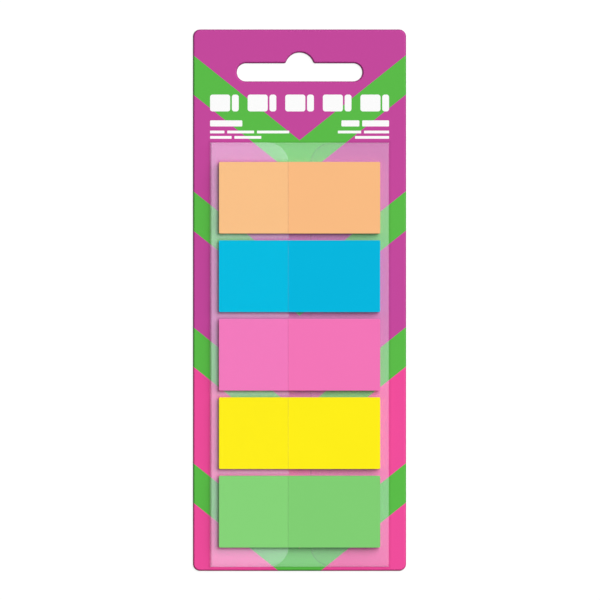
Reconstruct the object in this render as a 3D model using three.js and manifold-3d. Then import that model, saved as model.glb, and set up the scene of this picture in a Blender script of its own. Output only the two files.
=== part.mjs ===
import * as THREE from 'three';
import { mergeVertices } from 'three/addons/utils/BufferGeometryUtils.js';
import Module from 'manifold-3d';

// A carded set of sticky index tabs: five pads of film tabs, held in a folded film wallet,
// on a printed backing card with a hang slot. The set lies on its back.
// Millimetres, +Z up out of the printed face, +Y towards the hang slot. The origin is the
// centre of the card's back face.

// Tab pads, stacked down the wallet with the first one nearest the hang slot
const padLength = 45;
const padHeight = 20;
const padThickness = 1.2;
const padGap = 1.9;
const padColours = [
  ['orange', '#fabc83'],
  ['blue', '#00b6de'],
  ['pink', '#f475b8'],
  ['yellow', '#ffef16'],
  ['green', '#80cf73'],
];

// Film wallet: one sheet with a flap folded over the pads and a flap folded under its base
const filmThickness = 0.2;
const filmColour = '#e9e2ee';
const padSideMargin = 2.5;
const padTopMargin = 5.4;
const padBottomMargin = 5.4;
const flapEdgeSpacing = 6;
const flapCornerRadius = 6;
const underFlapGap = 0.1;

// Backing card
const cardThickness = 0.5;
const cardCornerRadius = 2;
const cardSideMargin = 4.8;
const cardFootMargin = 1.25;
const cardHeaderHeight = 31.7;
const cardColour = '#c3479b';

// Hang slot: a long slot with a round crown in the middle of its upper edge
const slotLength = 35;
const slotHeight = 5;
const slotDrop = 12;
const crownRadius = 4;
const crownRise = 5.5;
const crownFillet = 0.7;

// Fineness of the round stretches
const arcSteps = 12;
const cutterOvershoot = 1;

// Sizes that follow from the values above
const padsHeight = padColours.length * padHeight + (padColours.length - 1) * padGap;
const walletWidth = padLength + 2 * padSideMargin;
const walletHeight = padTopMargin + padsHeight + padBottomMargin;
const flapWidth = (walletWidth - flapEdgeSpacing) / 2;
const cardWidth = walletWidth + 2 * cardSideMargin;
const cardHeight = cardFootMargin + walletHeight + cardHeaderHeight;

// Heights of the faces, from the card's back up
const underFlapBottom = cardThickness;
const underFlapTop = underFlapBottom + filmThickness;
const baseBottom = underFlapTop + underFlapGap;
const baseTop = baseBottom + filmThickness;
const padTop = baseTop + padThickness;
const frontFlapTop = padTop + filmThickness;

// Places across and along the card
const walletLeft = -walletWidth / 2;
const walletRight = walletWidth / 2;
const walletBottom = -cardHeight / 2 + cardFootMargin;
const walletTop = walletBottom + walletHeight;
const frontFlapEdge = walletLeft + flapWidth;
const underFlapEdge = walletRight - flapWidth;
const slotCentreY = cardHeight / 2 - slotDrop;

const wasm = await Module();
wasm.setup();

// A closed three.js geometry as a manifold solid
function toSolid(geometry) {
  const bare = geometry.clone();
  bare.deleteAttribute('normal');
  bare.deleteAttribute('uv');
  const merged = mergeVertices(bare, 1e-5);
  return new wasm.Manifold(new wasm.Mesh({
    numProp: 3,
    vertProperties: new Float32Array(merged.attributes.position.array),
    triVerts: new Uint32Array(merged.index.array),
  }));
}

// A manifold solid as a three.js geometry with flat faces
function toGeometry(solid) {
  const mesh = solid.getMesh();
  const shared = new THREE.BufferGeometry();
  shared.setAttribute('position', new THREE.BufferAttribute(mesh.vertProperties, mesh.numProp));
  shared.setIndex(new THREE.BufferAttribute(mesh.triVerts, 1));
  const geometry = shared.toNonIndexed();
  geometry.computeVertexNormals();
  return geometry;
}

function makePart(name, geometry, colour, roughness, opacity = 1) {
  const material = new THREE.MeshStandardMaterial({
    color: colour,
    roughness,
    metalness: 0,
    opacity,
    transparent: opacity < 1,
  });
  const part = new THREE.Mesh(geometry, material);
  part.name = name;
  return part;
}

function extrude(shape, depth) {
  return new THREE.ExtrudeGeometry(shape, { depth, bevelEnabled: false, curveSegments: arcSteps });
}

// The card's outline, a rectangle with rounded corners
function cardOutline() {
  const outline = new THREE.Shape();
  const right = cardWidth / 2 - cardCornerRadius;
  const top = cardHeight / 2 - cardCornerRadius;
  outline.absarc(right, top, cardCornerRadius, 0, Math.PI / 2, false);
  outline.absarc(-right, top, cardCornerRadius, Math.PI / 2, Math.PI, false);
  outline.absarc(-right, -top, cardCornerRadius, Math.PI, 1.5 * Math.PI, false);
  outline.absarc(right, -top, cardCornerRadius, 1.5 * Math.PI, 2 * Math.PI, false);
  outline.closePath();
  return outline;
}

// The hang slot's outline. Each fillet is tangent to the slot's upper edge and to the crown.
function hangSlotOutline() {
  const endRadius = slotHeight / 2;
  const endX = slotLength / 2 - endRadius;
  const upperEdge = slotCentreY + endRadius;
  const crownCentreY = slotCentreY + crownRise - crownRadius;
  const filletCentreY = upperEdge + crownFillet;
  const filletCentreX = Math.sqrt((crownRadius + crownFillet) ** 2 - (filletCentreY - crownCentreY) ** 2);
  const tangentAngle = Math.atan2(filletCentreY - crownCentreY, filletCentreX);
  const quarter = Math.PI / 2;

  const slot = new THREE.Path();
  slot.absarc(endX, slotCentreY, endRadius, -quarter, quarter, false);
  slot.absarc(filletCentreX, filletCentreY, crownFillet, -quarter, tangentAngle - Math.PI, true);
  slot.absarc(0, crownCentreY, crownRadius, tangentAngle, Math.PI - tangentAngle, false);
  slot.absarc(-filletCentreX, filletCentreY, crownFillet, -tangentAngle, -quarter, true);
  slot.absarc(-endX, slotCentreY, endRadius, quarter, 3 * quarter, false);
  slot.closePath();
  return slot;
}

function backingCard() {
  const outline = cardOutline();
  outline.holes.push(hangSlotOutline());
  return makePart('backing_card', extrude(outline, cardThickness), cardColour, 0.35);
}

// The wallet's section across the card: under flap, right fold, base, left fold, front flap.
// Both folds are half rounds, as wide as the layers that they join.
function walletSection() {
  const leftFoldCentre = (baseBottom + frontFlapTop) / 2;
  const leftFoldRadius = (frontFlapTop - baseBottom) / 2;
  const leftFoldX = walletLeft + leftFoldRadius;
  const rightFoldCentre = (underFlapBottom + baseTop) / 2;
  const rightFoldRadius = (baseTop - underFlapBottom) / 2;
  const rightFoldX = walletRight - rightFoldRadius;
  const quarter = Math.PI / 2;

  const section = new THREE.Shape();
  section.moveTo(underFlapEdge, underFlapBottom);
  section.absarc(rightFoldX, rightFoldCentre, rightFoldRadius, -quarter, quarter, false);
  section.absarc(leftFoldX, leftFoldCentre, leftFoldRadius - filmThickness, 3 * quarter, quarter, true);
  section.lineTo(frontFlapEdge, padTop);
  section.lineTo(frontFlapEdge, frontFlapTop);
  section.absarc(leftFoldX, leftFoldCentre, leftFoldRadius, quarter, 3 * quarter, false);
  section.absarc(rightFoldX, rightFoldCentre, rightFoldRadius - filmThickness, quarter, -quarter, true);
  section.lineTo(underFlapEdge, underFlapTop);
  section.closePath();
  return section;
}

// What is cut away outside a flap's rounded corner. The corner points to +X or -X and to
// +Y or -Y, as sideX and sideY say, and the cut runs between the two heights.
function cornerCutter(flapEdge, flapEnd, sideX, sideY, lowest, highest) {
  const reach = flapCornerRadius + cutterOvershoot;
  const points = [];
  for (let step = 0; step <= arcSteps; step += 1) {
    const angle = (step / arcSteps) * (Math.PI / 2);
    points.push(new THREE.Vector2(
      sideX * flapCornerRadius * Math.cos(angle),
      sideY * flapCornerRadius * Math.sin(angle),
    ));
  }
  points.push(new THREE.Vector2(0, sideY * reach));
  points.push(new THREE.Vector2(sideX * reach, sideY * reach));
  points.push(new THREE.Vector2(sideX * reach, 0));
  const cutter = extrude(new THREE.Shape(points), highest - lowest);
  cutter.translate(flapEdge - sideX * flapCornerRadius, flapEnd - sideY * flapCornerRadius, lowest);
  return toSolid(cutter);
}

function filmWallet() {
  const sheet = extrude(walletSection(), walletHeight);
  sheet.rotateX(Math.PI / 2);
  sheet.translate(0, walletTop, 0);
  let solid = toSolid(sheet);
  const aboveBase = (baseTop + padTop) / 2;
  const aboveWallet = frontFlapTop + cutterOvershoot;
  const belowBase = (underFlapTop + baseBottom) / 2;
  const belowWallet = underFlapBottom - cutterOvershoot;
  for (const [flapEnd, sideY] of [[walletTop, 1], [walletBottom, -1]]) {
    solid = solid.subtract(cornerCutter(frontFlapEdge, flapEnd, 1, sideY, aboveBase, aboveWallet));
    solid = solid.subtract(cornerCutter(underFlapEdge, flapEnd, -1, sideY, belowWallet, belowBase));
  }
  return makePart('film_wallet', toGeometry(solid), filmColour, 0.3, 0.35);
}

function tabPad(colourName, colour, index) {
  const pad = makePart(
    `tab_pad_${colourName}`,
    new THREE.BoxGeometry(padLength, padHeight, padThickness),
    colour,
    0.4,
  );
  const centreY = walletTop - padTopMargin - padHeight / 2 - index * (padHeight + padGap);
  pad.position.set(0, centreY, baseTop + padThickness / 2);
  return pad;
}

const group = new THREE.Group();
group.add(backingCard());
group.add(filmWallet());
padColours.forEach(([colourName, colour], index) => group.add(tabPad(colourName, colour, index)));

export default group;
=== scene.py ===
"""A carded set of sticky index tabs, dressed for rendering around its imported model.

Metres, with +Z out of the printed face and +Y towards the hang slot. The set lies on its back.
A sheet of film is folded round five pads of tabs and lies on a printed card.
"""

import math

import bpy
import numpy as np
from bpy.props import FloatProperty, FloatVectorProperty, IntProperty, PointerProperty
from mathutils.geometry import delaunay_2d_cdt
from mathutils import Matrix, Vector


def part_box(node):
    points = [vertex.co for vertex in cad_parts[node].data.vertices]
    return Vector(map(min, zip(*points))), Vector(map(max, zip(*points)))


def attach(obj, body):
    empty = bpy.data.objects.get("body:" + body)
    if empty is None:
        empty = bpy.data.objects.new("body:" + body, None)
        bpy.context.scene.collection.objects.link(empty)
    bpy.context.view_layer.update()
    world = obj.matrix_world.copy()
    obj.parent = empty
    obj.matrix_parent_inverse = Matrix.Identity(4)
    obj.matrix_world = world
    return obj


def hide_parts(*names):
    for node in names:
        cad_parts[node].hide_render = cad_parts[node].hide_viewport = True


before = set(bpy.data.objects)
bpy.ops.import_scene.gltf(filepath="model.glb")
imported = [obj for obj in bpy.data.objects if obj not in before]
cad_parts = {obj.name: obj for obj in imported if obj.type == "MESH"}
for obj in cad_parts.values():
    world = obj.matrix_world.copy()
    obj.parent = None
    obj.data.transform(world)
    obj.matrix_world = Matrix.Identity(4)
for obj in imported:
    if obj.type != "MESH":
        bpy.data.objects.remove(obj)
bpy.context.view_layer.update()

bl_info = {
    "name": "Carded index tabs",
    "version": (1, 0, 0),
    "blender": (4, 5, 0),
    "location": "3D View > Sidebar > Index tabs",
    "description": "Builds a carded set of sticky index tabs and its studio",
    "category": "Object",
}

MM = 0.001
QUARTER = math.pi / 2


def ink(red, green, blue):
    """The linear colour of an sRGB colour whose channels run from 0 to 255."""
    level = np.array([red, green, blue]) / 255
    linear = np.where(level <= 0.04045, level / 12.92, ((level + 0.055) / 1.055) ** 2.4)
    return tuple(float(channel) for channel in linear)


def length(title, description, default):
    """A size property in metres."""
    return FloatProperty(
        name=title, description=description, default=default, min=0, unit="LENGTH", precision=5
    )


def angle(title, description, degrees):
    """An angle property, whose default is given in degrees."""
    return FloatProperty(
        name=title, description=description, default=math.radians(degrees), subtype="ANGLE"
    )


def number(title, description, default):
    """A property that is a plain number from 0 up."""
    return FloatProperty(name=title, description=description, default=default, min=0)


def share(title, description, default):
    """A property that is a share from 0 to 1."""
    return FloatProperty(
        name=title, description=description, default=default, min=0, max=1, subtype="FACTOR"
    )


def colour(title, description, default):
    """A colour property."""
    return FloatVectorProperty(
        name=title, description=description, default=default, size=3, min=0, max=1, subtype="COLOR"
    )


# Settings

class CardSettings(bpy.types.PropertyGroup):
    """Sizes and inks of the backing card."""

    corner_radius: length("Corner radius", "Radius of the card's corners", 2 * MM)
    bevel_width: length("Bevel width", "Width of the slope along the printed edge", 0.52 * MM)
    bevel_depth: length("Bevel depth", "Depth of the slope along the printed edge", 0.43 * MM)
    back_rounding: length("Back rounding", "Rounding of the back's edge", 0.05 * MM)
    print_depth: length("Print depth", "How far down the slope the ink reaches", 0.36 * MM)
    # Painted shade: the lightness to which the print on the slope is darkened
    bevel_shade: share("Bevel shade", "Lightness of the print on the slope, darkened as painted shade", 0.6)
    # Painted shadow: a faint darker line in the print around the wallet's outline
    painted_shadow_line: length("Painted shadow line", "Width of the painted shadow line around the wallet", 0.7 * MM)
    painted_shadow_ink: share("Painted shadow", "Lightness of the line around the wallet", 0.8)
    slot_length: length("Slot length", "Length of the hang slot", 35 * MM)
    slot_height: length("Slot height", "Height of the hang slot", 5 * MM)
    slot_drop: length("Slot drop", "Card's top edge to the slot's centre line", 12 * MM)
    crown_radius: length("Crown radius", "Radius of the slot's round crown", 4 * MM)
    crown_rise: length("Crown rise", "Slot's centre line to the crown's top", 5.5 * MM)
    crown_fillet: length("Crown fillet", "Radius where the crown meets the slot", 0.7 * MM)
    chevron_start: length("Chevron start", "Card's top edge to the first chevron's tip", 31 * MM)
    chevron_pitch: length("Chevron pitch", "Distance from one chevron to the next", 38 * MM)
    chevron_width: length("Chevron width", "Height of a chevron", 11 * MM)
    chevron_slope: number("Chevron slope", "Rise of the chevrons over their run", 0.8)
    magenta: colour("Magenta ink", "Upper ground colour", ink(195, 71, 155))
    pink: colour("Pink ink", "Lower ground colour", ink(239, 76, 155))
    green: colour("Green ink", "Colour of the chevrons", ink(89, 186, 71))
    white: colour("White ink", "Colour of the tab signs and the bars", ink(252, 252, 252))
    board: colour("Board", "Colour of the unprinted board", ink(238, 236, 230))


class WalletSettings(bpy.types.PropertyGroup):
    """Sizes and haze of the film wallet."""

    film: length("Film thickness", "Thickness of the sheet of film", 0.2 * MM)
    under_gap: length("Gap under the base", "Room between the under flap and the base", 0.1 * MM)
    card_gap: length("Gap over the card", "Air between the card and the under flap", 0.02 * MM)
    flap_spacing: length("Flap spacing", "Distance between the two flaps' edges", 6 * MM)
    flap_corner: length("Flap corner", "Radius of the flaps' free corners", 6 * MM)
    haze: colour("Haze", "Own colour of the film's milky haze", ink(216, 218, 232))
    take_up: share("Take-up", "Share of the print's colour that the haze above it takes up", 0.6)
    shade: share("Shade", "Share of its opacity with which the film holds light back", 0.15)
    layer_haze: share("Haze of a layer", "Share of light that one layer scatters", 0.25)
    # Painted shade: a thinner haze beside a pad lets the film look darker there
    beside_haze: share("Haze beside a pad", "Share that a layer scatters beside a pad", 0.014)
    contact_haze: share("Haze over a pad", "Share that a layer scatters on a pad", 0.05)
    pad_glow: number("Glow over a pad", "How far haze over a pad lifts its middle tones", 4.0)
    under_haze: share("Haze of the under flap", "Share that the hidden flap scatters", 0.035)
    sheen: share("Sheen", "Share that the film reflects when seen edge on", 0.42)
    # Painted light of the film: a pale rim as a highlight, dark rims and folds as shade
    rim_haze: share("Rim highlight", "Share that is added along the film's cut edge", 0.05)
    dark_rim_haze: share("Dark rim", "Share added along an edge close on a surface", 0.07)
    under_rim_haze: share("Rim of the under flap", "Share added along its cut edge", 0.25)
    fold_haze: share("Fold shade", "Share added where a fold is seen edge on", 0.1)
    rim_shade: colour("Rim shade", "Colour of dark rims and folds", ink(96, 70, 90))
    rim_width: length("Rim width", "Width of the rim along a cut edge", 0.3 * MM)
    shade_reach: length("Shade reach", "How far past a pad the haze is thinned as painted shade", 0.9 * MM)


class PadSettings(bpy.types.PropertyGroup):
    """Sheets and colours of the tab pads."""

    sheets: IntProperty(name="Tabs", description="Tabs in a pad", default=24, min=1)
    corner_radius: length("Corner radius", "Radius of a tab's corners", 0.35 * MM)
    sheet_inset: length("Inset", "How far a tab's outline may be drawn in", 0.05 * MM)
    film_gap: length("Gap to the film", "Air between a pad and the film that holds it", 0.02 * MM)
    side_tone: share("Side tone", "Lightness of a pad's sides", 0.9)
    orange: colour("Orange", "Orange film", ink(250, 188, 131))
    blue: colour("Blue", "Blue film", ink(0, 182, 222))
    pink: colour("Pink", "Pink film", ink(244, 117, 184))
    yellow: colour("Yellow", "Yellow film", ink(255, 239, 22))
    green: colour("Green", "Green film", ink(128, 207, 115))


class StageSettings(bpy.types.PropertyGroup):
    """Light, floor and camera."""

    sun_strength: number("Sun", "Strength of the soft sun", 4.34)
    sun_spread: angle("Sun spread", "Apparent width of the sun", 72)
    sun_height: angle("Sun height", "Height of the sun above the floor", 38)
    sun_bearing: angle("Sun bearing", "Direction of the sun, anticlockwise from +X", 38)
    ambient: number("Ambient", "Strength of the sky", 0.14)
    floor_tone: share("Floor tone", "Share of light that the floor throws back", 0.4)
    floor_glow: number("Floor glow", "Own light of the floor where it is seen", 0.64)
    camera_distance: length("Camera distance", "Height of the camera above the card", 1.2)
    pixels_per_mm: number("Pixels per millimetre", "Scale of the view", 3.578)


# Meshes

def add_piece(name, points, faces, material, smooth):
    """Makes a mesh object of points and faces. smooth holds one flag for each face."""
    mesh = bpy.data.meshes.new(name)
    mesh.from_pydata(np.asarray(points, dtype=float).tolist(), [], faces)
    mesh.polygons.foreach_set("use_smooth", np.asarray(smooth, dtype=bool))
    mesh.materials.append(material)
    mesh.validate()
    mesh.update()
    piece = bpy.data.objects.new(name, mesh)
    bpy.context.scene.collection.objects.link(piece)
    return piece


def dress(piece, node):
    """Says which body the piece rides on, and hides the CAD node it stands for."""
    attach(piece, "root")
    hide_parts(node)


def ring_points(outlines, levels):
    """Points of closed rings, one ring after another: each ring's outline at its own level."""
    level = np.broadcast_to(levels[:, None, None], (*outlines.shape[:2], 1))
    return np.concatenate([outlines, level], axis=2).reshape(-1, 3)


def ring_faces(rings, count, first=0):
    """Quads between closed rings of count points each, stacked one after another."""
    ring, place = np.meshgrid(np.arange(rings - 1), np.arange(count), indexing="ij")
    following = (place + 1) % count
    low = first + ring * count
    high = low + count
    quads = np.stack([low + place, low + following, high + following, high + place], axis=-1)
    return quads.reshape(-1, 4).tolist()


def arc_chain(arcs, steps):
    """Points and normals of a closed line made of arcs that straight lines join.

    An arc is (centre x, centre y, radius, first angle, last angle, side). Its points are the
    centre plus the radius along each angle, and its normals are those directions times side.
    """
    points, normals = [], []
    for centre_x, centre_y, radius, first, last, side in arcs:
        turn = np.linspace(first, last, steps + 1)
        direction = np.column_stack([np.cos(turn), np.sin(turn)])
        points.append(np.array([centre_x, centre_y]) + radius * direction)
        normals.append(side * direction)
    return np.vstack(points), np.vstack(normals)


def rounded_rectangle(low, high, radius, steps):
    """Anticlockwise outline of a rectangle with round corners, and its inward normals."""
    left, bottom = low[0] + radius, low[1] + radius
    right, top = high[0] - radius, high[1] - radius
    arcs = [
        (right, bottom, radius, -QUARTER, 0, -1),
        (right, top, radius, 0, QUARTER, -1),
        (left, top, radius, QUARTER, 2 * QUARTER, -1),
        (left, bottom, radius, 2 * QUARTER, 3 * QUARTER, -1),
    ]
    return arc_chain(arcs, steps)


# Materials

# Width over which a crisp outline fades
CRISP = 0.05 * MM


class Wiring:
    """Short calls for the nodes of a material or a world.

    A value is a number, a colour or a node's output.
    """

    def __init__(self, owner):
        owner.use_nodes = True
        self.nodes = owner.node_tree.nodes
        self.links = owner.node_tree.links

    def feed(self, socket, value):
        """Links an output to the socket, or sets the socket's own value."""
        if isinstance(value, bpy.types.NodeSocket):
            self.links.new(value, socket)
        else:
            socket.default_value = value

    def split(self, vector):
        """The three numbers of a vector."""
        node = self.nodes.new("ShaderNodeSeparateXYZ")
        self.feed(node.inputs[0], vector)
        return node.outputs[0], node.outputs[1], node.outputs[2]

    def math(self, operation, first, second=0.0, clamp=False):
        """One Math node."""
        node = self.nodes.new("ShaderNodeMath")
        node.operation = operation
        node.use_clamp = clamp
        self.feed(node.inputs[0], first)
        self.feed(node.inputs[1], second)
        return node.outputs[0]

    def plus(self, first, second, clamp=False):
        """The sum of two numbers."""
        return self.math("ADD", first, second, clamp)

    def minus(self, first, second):
        """The first number less the second."""
        return self.math("SUBTRACT", first, second)

    def times(self, first, second, clamp=False):
        """The product of two numbers."""
        return self.math("MULTIPLY", first, second, clamp)

    def most(self, first, second):
        """The larger of two numbers."""
        return self.math("MAXIMUM", first, second)

    def away(self, place, middle):
        """The distance of a place from a middle."""
        return self.math("ABSOLUTE", self.minus(place, middle))

    def span(self, value, lowest, highest):
        """A number from 0 to 1 spread over lowest to highest."""
        return self.plus(self.times(value, highest - lowest), lowest)

    def edge(self, depth, softness):
        """0 outside and 1 inside a line, with a soft step. depth is the distance inside it."""
        return self.plus(self.math("DIVIDE", depth, softness), 0.5, clamp=True)

    def corner_depth(self, radius, past_side, past_end):
        """Distance inside a round corner: its radius less the distance past the two straight
        lines that meet at its centre."""
        square = 0.0
        for past in (past_side, past_end):
            past = self.most(past, 0.0)
            square = self.plus(self.times(past, past), square)
        return self.minus(radius, self.math("SQRT", square))

    def paint(self, mask, below, above):
        """The colour above where mask is 1, on the colour below."""
        node = self.nodes.new("ShaderNodeMix")
        node.data_type = "RGBA"
        self.feed(node.inputs[0], mask)
        for socket, value in ((node.inputs[6], below), (node.inputs[7], above)):
            self.feed(socket, value if isinstance(value, bpy.types.NodeSocket) else (*value, 1))
        return node.outputs[2]

    def vary(self, tint, amount):
        """The colour made lighter or darker by amount, a number about 1."""
        node = self.nodes.new("ShaderNodeVectorMath")
        node.operation = "SCALE"
        self.feed(node.inputs[0], tint)
        self.feed(node.inputs["Scale"], amount)
        return node.outputs[0]

    def take_up(self, own, other, part):
        """The own colour with a part of the other colour added, up to white."""
        total = self.nodes.new("ShaderNodeVectorMath")
        total.operation = "MULTIPLY_ADD"
        self.feed(total.inputs[0], other)
        self.feed(total.inputs[1], (part, part, part))
        self.feed(total.inputs[2], own)
        node = self.nodes.new("ShaderNodeVectorMath")
        node.operation = "MINIMUM"
        self.feed(node.inputs[0], total.outputs[0])
        self.feed(node.inputs[1], (1, 1, 1))
        return node.outputs[0]


class Finish(Wiring):
    """The nodes of a new material, with its shader and the place on the piece."""

    def __init__(self, name):
        self.material = bpy.data.materials.new(name)
        super().__init__(self.material)
        self.shader = self.nodes["Principled BSDF"]
        self.place = self.nodes.new("ShaderNodeTexCoord").outputs["Object"]
        self.x, self.y, self.z = self.split(self.place)

    def set(self, **values):
        """Sets the shader's sockets. An underscore in a name stands for a space."""
        for name, value in values.items():
            self.feed(self.shader.inputs[name.replace("_", " ")], value)

    def noise(self, grain, detail, stretch=(1, 1, 1)):
        """Noise between 0 and 1 whose grain is so many metres wide."""
        mapping = self.nodes.new("ShaderNodeMapping")
        mapping.inputs["Scale"].default_value = stretch
        self.feed(mapping.inputs["Vector"], self.place)
        node = self.nodes.new("ShaderNodeTexNoise")
        node.inputs["Scale"].default_value = 1 / grain
        node.inputs["Detail"].default_value = detail
        self.feed(node.inputs["Vector"], mapping.outputs["Vector"])
        return node.outputs["Fac"]

    def tone(self, grain, detail, lowest, highest):
        """Noise spread over lowest to highest."""
        return self.span(self.noise(grain, detail), lowest, highest)

    def bump(self, height, depth):
        """Relief on the shader, depth metres high."""
        node = self.nodes.new("ShaderNodeBump")
        node.inputs["Distance"].default_value = depth
        self.feed(node.inputs["Height"], height)
        self.feed(self.shader.inputs["Normal"], node.outputs["Normal"])

    def box_depth(self, low, high):
        """Distance inside a box seen from above, less than 0 outside."""
        depths = [
            self.minus((end - start) / 2, self.away(place, (start + end) / 2))
            for place, start, end in zip((self.x, self.y), low, high)
        ]
        return self.math("MINIMUM", *depths)


# Backing card

# Fineness of the mesh, and how round the bevel is
CARD_CORNER_STEPS = 16
SLOT_STEPS = 20
BEVEL_STEPS = 6
BEVEL_POWER = 1.3

# How the flat faces are cut into triangles: only inside the outline, with this tolerance
FILL_INSIDE = 1
FILL_TOLERANCE = 1e-9

# Row of tab signs, each of two parts with a cut between them
SIGN_COUNT = 5
SIGN_PARTS = (5.6 * MM, 1.9 * MM)
SIGN_CUT = 0.5 * MM
SIGN_HEIGHT = 4.7 * MM
SIGN_DROP = 20.6 * MM

# Rows of plain bars: the row's distance below the card's top edge, the bars' height, and the
# widths of the bars at the left and at the right
BAR_ROWS = (
    (26.3 * MM, 1.7 * MM, (9 * MM,), (5 * MM, 7.5 * MM)),
    (28.7 * MM, 0.75 * MM, (4 * MM, 7.5 * MM, 9 * MM), (6.5 * MM, 7 * MM)),
    (30.2 * MM, 0.75 * MM, (6 * MM, 7.5 * MM), (9.5 * MM,)),
)
BAR_GAP = 0.8 * MM
BAR_ROUNDING = 0.15

# Chevrons on the upper ground colour, and the fading of their outlines
UPPER_CHEVRONS = 2
CHEVRON_FADE = 0.06 * MM

# How far below the printed face the painted shade on the slope begins, how softly it grows,
# and how softly the ink ends
BEVEL_SHADE_DROP = 0.06 * MM
BEVEL_SHADE_FADE = 0.12 * MM
INK_FADE = 0.03 * MM


def slot_outline(card_top, settings):
    """Anticlockwise outline of the hang slot, and its normals towards the board.

    Each fillet's centre is a fillet above the slot's upper edge, and the crown's radius and the
    fillet's away from the crown's centre, so that it touches both.
    """
    centre = card_top - settings.slot_drop
    end_radius = settings.slot_height / 2
    end_x = settings.slot_length / 2 - end_radius
    crown_y = centre + settings.crown_rise - settings.crown_radius
    fillet_y = centre + end_radius + settings.crown_fillet
    reach = settings.crown_radius + settings.crown_fillet
    fillet_x = math.sqrt(reach ** 2 - (fillet_y - crown_y) ** 2)
    touch = math.atan2(fillet_y - crown_y, fillet_x)
    arcs = [
        (end_x, centre, end_radius, -QUARTER, QUARTER, 1),
        (fillet_x, fillet_y, settings.crown_fillet, -QUARTER, touch - math.pi, -1),
        (0, crown_y, settings.crown_radius, touch, math.pi - touch, 1),
        (-fillet_x, fillet_y, settings.crown_fillet, -touch, -QUARTER, -1),
        (-end_x, centre, end_radius, QUARTER, 3 * QUARTER, 1),
    ]
    return arc_chain(arcs, SLOT_STEPS)


def edge_profile(thickness, settings):
    """How far in and how high each ring of the card's edge lies, from its back to its front.

    The back's edge is a quarter round. In front, the inset is the bevel's width times one minus
    a power of the cosine, and the drop is its depth times one minus the same power of the sine.
    With a power of 2 that is a straight slope, and with 1 a quarter ellipse.
    """
    turn = np.linspace(0, QUARTER, BEVEL_STEPS + 1)
    back_inset = settings.back_rounding * (1 - np.sin(turn))
    back_height = settings.back_rounding * (1 - np.cos(turn))
    bevel_inset = settings.bevel_width * (1 - np.cos(turn) ** BEVEL_POWER)
    bevel_height = thickness - settings.bevel_depth * (1 - np.sin(turn) ** BEVEL_POWER)
    return np.concatenate([back_inset, bevel_inset]), np.concatenate([back_height, bevel_height])


def inside_loop(points, loop):
    """Which points lie inside a closed loop: a ray to +X crosses it an odd number of times."""
    start, end = loop, np.roll(loop, -1, axis=0)
    x, y = points[:, :1], points[:, 1:]
    straddles = (start[:, 1] > y) != (end[:, 1] > y)
    rise = np.where(end[:, 1] == start[:, 1], 1, end[:, 1] - start[:, 1])
    crossing = start[:, 0] + (y - start[:, 1]) * (end[:, 0] - start[:, 0]) / rise
    return np.count_nonzero(straddles & (x < crossing), axis=1) % 2 == 1


def fill_between(outer, hole):
    """Triangles, anticlockwise, of the flat face between an outline and a hole in it."""
    corners = np.vstack([outer, hole])
    loops = [np.arange(len(outer)), len(outer) + np.arange(len(hole))]
    edges = np.vstack([np.column_stack([loop, np.roll(loop, -1)]) for loop in loops])
    _, _, triangles, origins, _, _ = delaunay_2d_cdt(
        corners.tolist(), edges.tolist(), [], FILL_INSIDE, FILL_TOLERANCE
    )
    source = np.array([names[0] for names in origins])
    triangles = source[np.array(triangles)]
    return triangles[~inside_loop(corners[triangles].mean(axis=1), hole)]


def card_mesh(settings):
    """Points, faces and smooth flags of the card: a bevelled edge carried round the outline and
    round the slot, and a flat face on each side."""
    low, high = (np.array(corner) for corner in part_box("backing_card"))
    outline, outline_in = rounded_rectangle(low, high, settings.corner_radius, CARD_CORNER_STEPS)
    slot, slot_in = slot_outline(high[1], settings)
    inset, height = edge_profile(high[2] - low[2], settings)
    points, faces, backs, fronts, first = [], [], [], [], 0
    for line, inward in ((outline, outline_in), (slot[::-1], slot_in[::-1])):
        points.append(ring_points(line + inset[:, None, None] * inward, low[2] + height))
        faces += ring_faces(len(inset), len(line), first)
        backs.append(first + np.arange(len(line)))
        fronts.append(backs[-1] + (len(inset) - 1) * len(line))
        first += len(inset) * len(line)
    points = np.vstack(points)
    edge_count = len(faces)
    for (outer, hole), order in ((backs, -1), (fronts, 1)):
        triangles = fill_between(points[outer, :2], points[hole, :2])
        faces += np.concatenate([outer, hole])[triangles][:, ::order].tolist()
    smooth = np.arange(len(faces)) < edge_count
    return points, faces, smooth


def bar_row(widths, gap, left=None, right=None):
    """Left and right ends of bars in a row that starts at left or ends at right."""
    widths = np.array(widths)
    starts = np.concatenate([[0], np.cumsum(widths + gap)[:-1]])
    total = starts[-1] + widths[-1]
    origin = left if right is None else right - total
    return [(origin + start, origin + start + width) for start, width in zip(starts, widths)]


def bar_mask(wiring, left, right, centre_y, height):
    """1 inside a bar with small round corners."""
    radius = height * BAR_ROUNDING
    past_side = wiring.minus(wiring.away(wiring.x, (left + right) / 2), (right - left) / 2 - radius)
    past_end = wiring.minus(wiring.away(wiring.y, centre_y), height / 2 - radius)
    return wiring.edge(wiring.corner_depth(radius, past_side, past_end), CRISP)


def header_mask(wiring, card_top, left, right):
    """1 on the row of tab signs and on the rows of plain bars below it.

    A sign is a tab with its end cut off, and the signs are spread evenly from left to right.
    """
    sign_length = sum(SIGN_PARTS) + SIGN_CUT
    starts = np.linspace(left, right - sign_length, SIGN_COUNT)
    signs = [part for start in starts for part in bar_row(SIGN_PARTS, SIGN_CUT, left=start)]
    rows = [(signs, SIGN_DROP, SIGN_HEIGHT)]
    for drop, height, left_widths, right_widths in BAR_ROWS:
        rows.append((bar_row(left_widths, BAR_GAP, left=left), drop, height))
        rows.append((bar_row(right_widths, BAR_GAP, right=right), drop, height))
    mask = 0.0
    for bars, drop, height in rows:
        for start, end in bars:
            mask = wiring.most(bar_mask(wiring, start, end, card_top - drop, height), mask)
    return mask


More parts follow.
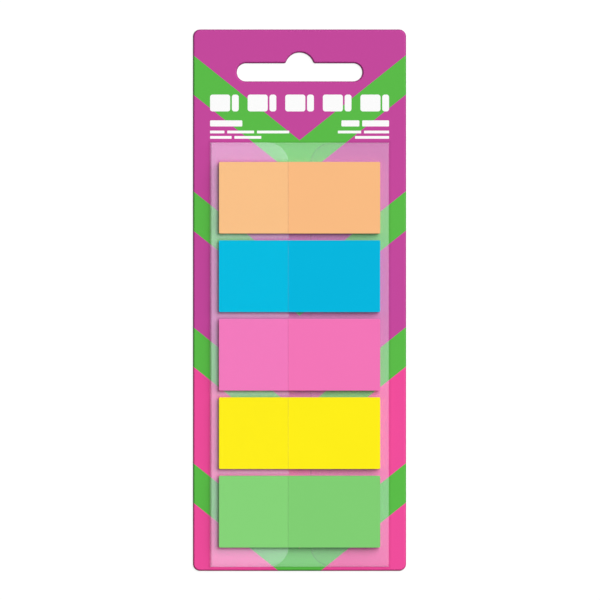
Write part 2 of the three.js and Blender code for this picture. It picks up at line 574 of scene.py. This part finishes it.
def chevron_print(wiring, settings):
    """The printed colour: magenta and pink grounds with evenly spaced green chevrons.

    A chevron is where y less the slope times the distance from the middle line lies in its band.
    The ground changes under the middle of a chevron.
    """
    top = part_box("backing_card")[1][1]
    rise = wiring.times(wiring.math("ABSOLUTE", wiring.x), settings.chevron_slope)
    drop = wiring.minus(top - settings.chevron_start, wiring.minus(wiring.y, rise))
    turns = wiring.math("DIVIDE", drop, settings.chevron_pitch)
    into_band = wiring.times(wiring.math("FRACT", turns), settings.chevron_pitch)
    band_top = wiring.edge(into_band, CHEVRON_FADE)
    band_foot = wiring.edge(wiring.minus(settings.chevron_width, into_band), CHEVRON_FADE)
    below_start = wiring.edge(drop, CHEVRON_FADE)
    chevron = wiring.times(wiring.times(band_top, band_foot), below_start)
    change = UPPER_CHEVRONS * settings.chevron_pitch + settings.chevron_width / 2
    lower = wiring.edge(wiring.minus(drop, change), CHEVRON_FADE)
    ground = wiring.paint(lower, settings.magenta, settings.pink)
    return wiring.paint(chevron, ground, settings.green)


def card_material(settings):
    """White board, printed on its front and down its bevel, where the print is darkened as painted
    shade.

    A faint darker line is painted into the print around the wallet's outline, as the wallet's
    contact shadow.
    """
    wiring = Finish("printed board")
    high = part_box("backing_card")[1]
    wallet_low, wallet_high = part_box("film_wallet")
    header = header_mask(wiring, high[1], wallet_low[0], wallet_high[0])
    printed = wiring.paint(header, chevron_print(wiring, settings), settings.white)

    mottle = wiring.tone(grain=0.5 * MM, detail=3, lowest=0.985, highest=1.015)
    # Painted shade: the print darkens on the slope below the printed face
    shaded = wiring.edge(wiring.minus(high[2] - BEVEL_SHADE_DROP, wiring.z), BEVEL_SHADE_FADE)
    # Painted shadow: a darker band just outside the wallet's outline
    inside = wiring.box_depth(wallet_low, wallet_high)
    shadow_band = wiring.edge(wiring.plus(inside, settings.painted_shadow_line / 2), settings.painted_shadow_line)
    painted_shadow_line = wiring.minus(shadow_band, wiring.edge(inside, CRISP))
    lightness = wiring.times(mottle, wiring.span(shaded, 1.0, settings.bevel_shade))
    lightness = wiring.times(lightness, wiring.span(painted_shadow_line, 1.0, settings.painted_shadow_ink))
    printed = wiring.vary(printed, lightness)

    fibres = wiring.noise(grain=0.25 * MM, detail=4, stretch=(1, 0.45, 1))
    board = wiring.vary(settings.board, wiring.span(fibres, lowest=0.94, highest=1.04))
    inked = wiring.edge(wiring.minus(wiring.z, high[2] - settings.print_depth), INK_FADE)
    wiring.set(
        Base_Color=wiring.paint(inked, board, printed),
        Roughness=wiring.span(inked, 0.85, 0.5),
        Specular_IOR_Level=0.06,
    )
    wiring.bump(fibres, depth=0.004 * MM)
    return wiring.material


class INDEXTABS_OT_card(bpy.types.Operator):
    """Build the printed backing card with its hang slot"""

    bl_idname = "index_tabs.card"
    bl_label = "Backing card"

    def execute(self, context):
        settings = context.scene.index_tabs_card
        points, faces, smooth = card_mesh(settings)
        card = add_piece("printed_card", points, faces, card_material(settings), smooth)
        dress(card, "backing_card")
        return {"FINISHED"}


# Film wallet

# Fineness of the sheet's grid
FLAP_CORNER_STEPS = 14
FLAP_COLUMNS = 12
FOLD_COLUMNS = 17
BASE_COLUMNS = 30
SHEET_ROWS = 61

# Layers of the sheet, counted upwards, and how softly one passes into the next on a fold
UNDER_FLAP, BASE, FRONT_FLAP = 0, 1, 2
LAYER_FADE = 0.5

# How much of the way between two layers is darkened as painted shade on either side of a fold's
# middle
FOLD_REACH = 0.25
FOLD_FADE = 0.2

# How quickly the sheen, a painted reflection, grows towards an edge-on view, and how quickly it
# turns the film white
SHEEN_POWER = 4.0
SHEEN_WHITENING = 4.0


def flap_columns(corner, width):
    """Distances of a flap's columns from its free edge, and how far back its ends lie there.

    Along the corner's arc the distance is the radius times one minus a cosine, and the end lies
    back by the radius times one minus the sine.
    """
    turn = np.linspace(0, QUARTER, FLAP_CORNER_STEPS + 1)
    straight = np.linspace(corner, width, FLAP_COLUMNS)[1:]
    near = np.concatenate([corner * (1 - np.cos(turn)), straight])
    back = np.concatenate([corner * (1 - np.sin(turn)), np.zeros(len(straight))])
    return near, back


def flat_stretch(x, z, normal_z, near, back, layer):
    """Rows of a flat stretch of the sheet, at places x and the height z."""
    each = np.ones(len(x))
    return np.column_stack([
        x, z * each, 0 * each, normal_z * each, near * each, back * each, layer * each,
    ])


def fold_stretch(x, z, radius, turns, side, near, layers):
    """Rows of a half round about x and z: the centre plus the radius along each angle."""
    turn = np.linspace(*turns, FOLD_COLUMNS)[1:-1]
    layer = np.linspace(*layers, FOLD_COLUMNS)[1:-1]
    each = np.ones(len(turn))
    return np.column_stack([
        x + radius * np.cos(turn), z + radius * np.sin(turn),
        side * np.cos(turn), side * np.sin(turn), near * each, 0 * each, layer,
    ])


def wallet_columns(settings):
    """The wallet's middle surface across the card, one row for each column of the grid.

    The line runs from the under flap's free edge over the right fold, the base and the left fold
    to the front flap's free edge. A row is x, z, normal x, normal z, the distance from the
    nearest free edge, how far back the end lies, and the layer.
    """
    low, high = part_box("film_wallet")
    film = settings.film
    under_z = low[2] + settings.card_gap + film / 2
    base_z = low[2] + film + settings.under_gap + film / 2
    front_z = high[2] - film / 2
    right_radius, left_radius = (base_z - under_z) / 2, (front_z - base_z) / 2
    right_x = high[0] - film / 2 - right_radius
    left_x = low[0] + film / 2 + left_radius
    flap = (high[0] - low[0] - settings.flap_spacing) / 2
    under_near, under_back = flap_columns(settings.flap_corner, flap - film / 2 - right_radius)
    front_near, front_back = flap_columns(settings.flap_corner, flap - film / 2 - left_radius)
    under_x = high[0] - flap + under_near
    base_x = np.linspace(right_x, left_x, BASE_COLUMNS)
    front_x = low[0] + flap - front_near
    return np.vstack([
        flat_stretch(under_x, under_z, -1, under_near, under_back, UNDER_FLAP),
        fold_stretch(right_x, (under_z + base_z) / 2, right_radius, (-QUARTER, QUARTER), 1,
                     flap, (UNDER_FLAP, BASE)),
        flat_stretch(base_x, base_z, 1, flap, 0, BASE),
        fold_stretch(left_x, (base_z + front_z) / 2, left_radius, (3 * QUARTER, QUARTER), -1,
                     flap, (BASE, FRONT_FLAP)),
        flat_stretch(front_x[::-1], front_z, -1, front_near[::-1], front_back[::-1], FRONT_FLAP),
    ])


def wallet_mesh(settings):
    """Points, faces, smooth flags and sheet places of the wallet: a section carried along it.

    A point is the middle surface plus or minus half the film's thickness along the normal. A
    sheet place is the distance from the flap's free edge and from the sheet's end, and the layer.
    """
    low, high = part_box("film_wallet")
    x, z, normal_x, normal_z, near, back, layer = wallet_columns(settings).T[:, :, None]
    middle, half = (low[1] + high[1]) / 2, (high[1] - low[1]) / 2
    y = middle + np.linspace(-1, 1, SHEET_ROWS) * (half - back)
    sides = [
        np.stack(np.broadcast_arrays(x + shift * normal_x, y, z + shift * normal_z), axis=-1)
        for shift in (settings.film / 2, -settings.film / 2)
    ]
    points = np.concatenate(sides).reshape(-1, 3)
    place = np.stack(np.broadcast_arrays(near, half - np.abs(y - middle), layer), axis=-1)

    side_count = y.size
    names = np.arange(side_count).reshape(y.shape)
    front = np.stack([names[:-1, :-1], names[1:, :-1], names[1:, 1:], names[:-1, 1:]], axis=-1)
    front = front.reshape(-1, 4)
    rear = front[:, ::-1] + side_count
    border = np.concatenate([
        names[:-1, 0], names[-1, :-1], names[1:, -1][::-1], names[0, 1:][::-1],
    ])
    following = np.roll(border, -1)
    rim = np.column_stack([following, border, border + side_count, following + side_count])
    faces = np.vstack([front, rear, rim]).tolist()
    smooth = np.arange(len(faces)) < 2 * len(front)
    return points, faces, smooth, np.concatenate([place, place])


def pad_boxes():
    """Lowest and highest corners of the pads' CAD solids, by colour."""
    names = [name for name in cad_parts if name.startswith("tab_pad_")]
    return {name.removeprefix("tab_pad_"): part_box(name) for name in names}


def sheet_masks(wiring, settings):
    """1 along a flap's cut edge, on a fold, on the front flap and on the under flap."""
    attribute = wiring.nodes.new("ShaderNodeAttribute")
    attribute.attribute_name = "sheet_place"
    near, end, layer = wiring.split(attribute.outputs["Vector"])
    corner = settings.flap_corner
    depth = wiring.corner_depth(corner, wiring.minus(corner, near), wiring.minus(corner, end))
    on_rim = wiring.edge(wiring.minus(settings.rim_width, depth), settings.rim_width)
    from_middle = wiring.away(wiring.math("FRACT", layer), 0.5)
    on_fold = wiring.edge(wiring.minus(FOLD_REACH, from_middle), FOLD_FADE)
    on_front = wiring.edge(wiring.minus(layer, (BASE + FRONT_FLAP) / 2), LAYER_FADE)
    on_under = wiring.edge(wiring.minus((UNDER_FLAP + BASE) / 2, layer), LAYER_FADE)
    return on_rim, on_fold, on_front, on_under


def over_pads(wiring, settings, pad_settings, milk):
    """1 close to a pad, where the haze is thinned as painted shade, 1 right over one, and the milk
    with a glow in the pads' colours.

    The glow of a channel c is pad_glow * c * (1 - c), which lifts the middle tones, and at
    least half of c.
    """
    reach = settings.shade_reach
    close, over = 0.0, 0.0
    for name, (low, high) in pad_boxes().items():
        depth = wiring.box_depth(low, high)
        # Painted shade: the haze thins out within the reach around each pad
        shaded_beside = wiring.edge(wiring.plus(depth, reach / 2), reach)
        on_pad = wiring.edge(depth, CRISP)
        glow = [
            min(1, max(settings.pad_glow * channel * (1 - channel), channel / 2))
            for channel in getattr(pad_settings, name)
        ]
        close = wiring.most(shaded_beside, close)
        over = wiring.most(on_pad, over)
        milk = wiring.paint(on_pad, milk, glow)
    return close, over, milk


def surface_shares(*hazes):
    """The opacity of each of a film's two faces, so that both together scatter a haze."""
    return [1 - math.sqrt(1 - haze) for haze in hazes]


def film_material(settings, card_settings, pad_settings):
    """Clear film with a milky haze, which is fainter over a pad, and fainter beside it as painted
    shade.

    The haze takes up the colour of the print or the pad below, and the film shines when seen
    edge on, a painted reflection. Its rim is paler, a painted highlight, or darker where it lies
    close on a surface, a painted shadow of its edge, and its folds are darker, painted shade. The
    film throws only a part of its haze as shade.
    """
    wiring = Finish("milky film")
    on_rim, on_fold, on_front, on_under = sheet_masks(wiring, settings)
    milk = wiring.take_up(
        tuple(settings.haze), chevron_print(wiring, card_settings), settings.take_up
    )
    close, over, milk = over_pads(wiring, settings, pad_settings, milk)
    milk = wiring.vary(milk, wiring.tone(grain=0.3 * MM, detail=3, lowest=0.98, highest=1.0))
    close, over = wiring.times(on_front, close), wiring.times(on_front, over)
    rim_shade_zone = wiring.most(close, on_under)

    plain, beside, contact, under = surface_shares(
        settings.layer_haze, settings.beside_haze, settings.contact_haze, settings.under_haze
    )
    pale_rim, dark_rim, under_rim, fold_share = surface_shares(
        settings.rim_haze, settings.dark_rim_haze, settings.under_rim_haze, settings.fold_haze
    )
    # Painted shade: beside the pads the haze is thinner, so the film looks darker there
    opacity = wiring.span(close, plain, beside)
    opacity = wiring.plus(opacity, wiring.times(over, contact - beside))
    opacity = wiring.plus(opacity, wiring.times(on_under, under - plain))
    cloud = wiring.tone(grain=7 * MM, detail=2, lowest=0.96, highest=1.04)
    opacity = wiring.times(opacity, cloud)
    # Painted highlight along the cut edge, and painted shadow where the film lies close on a
    # surface or is the under flap
    rim_share = wiring.span(rim_shade_zone, pale_rim, dark_rim)
    rim_share = wiring.plus(rim_share, wiring.times(on_under, under_rim - dark_rim))
    # Painted reflection: the film turns whiter and more opaque as it is seen edge on
    edge_on = wiring.nodes.new("ShaderNodeLayerWeight").outputs["Facing"]
    sheen = wiring.times(wiring.math("POWER", edge_on, SHEEN_POWER), settings.sheen)
    opacity = wiring.plus(opacity, sheen)
    opacity = wiring.plus(opacity, wiring.times(on_rim, rim_share))
    # Painted shade: the folds are more opaque, in the dark rim shade colour
    opacity = wiring.plus(opacity, wiring.times(on_fold, fold_share), clamp=True)
    shadow_ray = wiring.nodes.new("ShaderNodeLightPath").outputs["Is Shadow Ray"]
    opacity = wiring.times(opacity, wiring.span(shadow_ray, 1.0, settings.shade))

    # Painted shade: dark rims and folds take the rim shade colour
    dark = wiring.most(wiring.times(on_rim, rim_shade_zone), on_fold)
    tone = wiring.paint(dark, milk, settings.rim_shade)
    whitening = wiring.times(sheen, SHEEN_WHITENING, clamp=True)
    wiring.set(
        Base_Color=wiring.paint(whitening, tone, (1, 1, 1)),
        Roughness=0.32,
        Specular_IOR_Level=0.3,
        Alpha=opacity,
    )
    wiring.bump(wiring.noise(grain=2.5 * MM, detail=1), depth=0.01 * MM)
    return wiring.material


class INDEXTABS_OT_wallet(bpy.types.Operator):
    """Build the folded film wallet"""

    bl_idname = "index_tabs.wallet"
    bl_label = "Film wallet"

    def execute(self, context):
        settings = context.scene.index_tabs_wallet
        points, faces, smooth, place = wallet_mesh(settings)
        material = film_material(
            settings, context.scene.index_tabs_card, context.scene.index_tabs_pads
        )
        wallet = add_piece("folded_film", points, faces, material, smooth)
        sheet_place = wallet.data.attributes.new("sheet_place", "FLOAT_VECTOR", "POINT")
        sheet_place.data.foreach_set("vector", place.ravel())
        dress(wallet, "film_wallet")
        return {"FINISHED"}


# Tab pads

PAD_CORNER_STEPS = 5
SHEET_SEED = 5

# How far below a pad's top its side begins, and the fading between them
SIDE_DROP = 0.02 * MM
SIDE_FADE = 0.02 * MM


def pad_mesh(low, high, settings, chance):
    """Points, faces and smooth flags of a pad: a rounded outline carried up through its tabs.

    Each tab is two rings of the outline, drawn in a little at random.
    """
    outline, inward = rounded_rectangle(low, high, settings.corner_radius, PAD_CORNER_STEPS)
    sheets = settings.sheets
    inset = chance.uniform(0, settings.sheet_inset, (sheets, 1, 1)) * inward
    heights = np.linspace(low[2] + settings.film_gap, high[2] - settings.film_gap, sheets + 1)
    levels = np.repeat(heights, 2)[1:-1]
    points = ring_points(np.repeat(outline + inset, 2, axis=0), levels)
    count = len(outline)
    faces = ring_faces(len(levels), count)
    last = (len(levels) - 1) * count
    faces.append(list(range(count))[::-1])
    faces.append(list(range(last, last + count)))
    return points, faces, np.zeros(len(faces), dtype=bool)


def pad_material(name, film, top, side_tone):
    """Neon film: an even colour with a faint cast, deeper below the pad's top."""
    wiring = Finish(f"{name} tab film")
    cast = wiring.tone(grain=12 * MM, detail=1, lowest=0.99, highest=1.01)
    grain = wiring.noise(grain=0.12 * MM, detail=2)
    on_side = wiring.edge(wiring.minus(top - SIDE_DROP, wiring.z), SIDE_FADE)
    lightness = wiring.times(cast, wiring.span(on_side, 1.0, side_tone))
    wiring.set(
        Base_Color=wiring.vary(film, lightness),
        Roughness=wiring.span(grain, lowest=0.38, highest=0.46),
        Specular_IOR_Level=0.05,
    )
    wiring.bump(grain, depth=0.002 * MM)
    return wiring.material


class INDEXTABS_OT_pads(bpy.types.Operator):
    """Build the pads of tabs"""

    bl_idname = "index_tabs.pads"
    bl_label = "Tab pads"

    def execute(self, context):
        settings = context.scene.index_tabs_pads
        chance = np.random.default_rng(SHEET_SEED)
        for name, (low, high) in sorted(pad_boxes().items()):
            points, faces, smooth = pad_mesh(low, high, settings, chance)
            top = high[2] - settings.film_gap
            film = tuple(getattr(settings, name))
            material = pad_material(name, film, top, settings.side_tone)
            pad = add_piece(f"{name}_tabs", points, faces, material, smooth)
            dress(pad, f"tab_pad_{name}")
        return {"FINISHED"}


# Stage

FLOOR_HALF = 2.0
FLOOR_DROP = 0.02 * MM

# Width of the picture in pixels, and the point of the card in its middle
IMAGE_WIDTH = 600
VIEW_CENTRE = (0.12 * MM, 0.04 * MM)


def is_seen(wiring):
    """1 for a ray that shows the surface, straight or by way of gloss or a clear piece, and 0
    for one that only gathers light."""
    path = wiring.nodes.new("ShaderNodeLightPath")
    seen = wiring.most(path.outputs["Is Camera Ray"], path.outputs["Is Glossy Ray"])
    return wiring.most(seen, path.outputs["Is Transmission Ray"])


def stage_floor(settings):
    """A white floor that keeps the object's shadow."""
    corners = [
        (side_x * FLOOR_HALF, side_y * FLOOR_HALF, -FLOOR_DROP)
        for side_x, side_y in ((-1, -1), (1, -1), (1, 1), (-1, 1))
    ]
    wiring = Finish("white floor")
    tone = settings.floor_tone
    wiring.set(
        Base_Color=(tone, tone, tone, 1),
        Roughness=1.0,
        Specular_IOR_Level=0.0,
        Emission_Color=(1, 1, 1, 1),
        Emission_Strength=wiring.times(is_seen(wiring), settings.floor_glow),
    )
    floor = add_piece("floor", corners, [(0, 1, 2, 3)], wiring.material, [False])


def stage_world(ambient):
    """A sky that lights the object evenly and is white where it is seen."""
    world = bpy.data.worlds.new("studio")
    bpy.context.scene.world = world
    wiring = Wiring(world)
    background = wiring.nodes["Background"]
    wiring.feed(background.inputs["Color"], (1, 1, 1, 1))
    wiring.feed(background.inputs["Strength"], wiring.span(is_seen(wiring), ambient, 1.0))


def stage_sun(settings):
    """A wide soft sun from the upper right."""
    light = bpy.data.lights.new("soft sun", "SUN")
    light.energy = settings.sun_strength
    light.angle = settings.sun_spread
    sun = bpy.data.objects.new("soft sun", light)
    sun.rotation_euler = (0, QUARTER - settings.sun_height, settings.sun_bearing)
    bpy.context.scene.collection.objects.link(sun)


def stage_camera(settings):
    """A long lens that looks straight down on the card, with the hang slot at the top.

    The focal length is the sensor's width times the camera's distance over the view's width.
    """
    view_width = IMAGE_WIDTH / settings.pixels_per_mm * MM
    lens = bpy.data.cameras.new("camera")
    lens.lens = lens.sensor_width * settings.camera_distance / view_width
    camera = bpy.data.objects.new("camera", lens)
    camera.location = (*VIEW_CENTRE, settings.camera_distance)
    bpy.context.scene.collection.objects.link(camera)
    bpy.context.scene.camera = camera


class INDEXTABS_OT_stage(bpy.types.Operator):
    """Set up the floor, the light and the camera"""

    bl_idname = "index_tabs.stage"
    bl_label = "Studio"

    def execute(self, context):
        settings = context.scene.index_tabs_stage
        stage_floor(settings)
        stage_world(settings.ambient)
        stage_sun(settings)
        stage_camera(settings)
        context.scene.view_settings.view_transform = "Standard"
        return {"FINISHED"}


# Add-on

SETTINGS = {
    "index_tabs_card": CardSettings,
    "index_tabs_wallet": WalletSettings,
    "index_tabs_pads": PadSettings,
    "index_tabs_stage": StageSettings,
}
OPERATORS = (INDEXTABS_OT_card, INDEXTABS_OT_wallet, INDEXTABS_OT_pads, INDEXTABS_OT_stage)


class INDEXTABS_PT_sidebar(bpy.types.Panel):
    """Lists the pieces, each with its settings"""

    bl_idname = "INDEXTABS_PT_sidebar"
    bl_label = "Index tabs"
    bl_space_type = "VIEW_3D"
    bl_region_type = "UI"
    bl_category = "Index tabs"

    def draw(self, context):
        for group, operator in zip(SETTINGS, OPERATORS):
            box = self.layout.box()
            box.operator(operator.bl_idname)
            settings = getattr(context.scene, group)
            for name in settings.bl_rna.properties.keys():
                if name not in ("rna_type", "name"):
                    box.prop(settings, name)


def register():
    for group, kind in SETTINGS.items():
        bpy.utils.register_class(kind)
        setattr(bpy.types.Scene, group, PointerProperty(type=kind))
    for kind in (*OPERATORS, INDEXTABS_PT_sidebar):
        bpy.utils.register_class(kind)


def unregister():
    for kind in (INDEXTABS_PT_sidebar, *reversed(OPERATORS)):
        bpy.utils.unregister_class(kind)
    for group, kind in reversed(SETTINGS.items()):
        delattr(bpy.types.Scene, group)
        bpy.utils.unregister_class(kind)


def main():
    register()
    bpy.ops.index_tabs.card()
    bpy.ops.index_tabs.wallet()
    bpy.ops.index_tabs.pads()
    bpy.ops.index_tabs.stage()


if __name__ == "__main__":
    main()
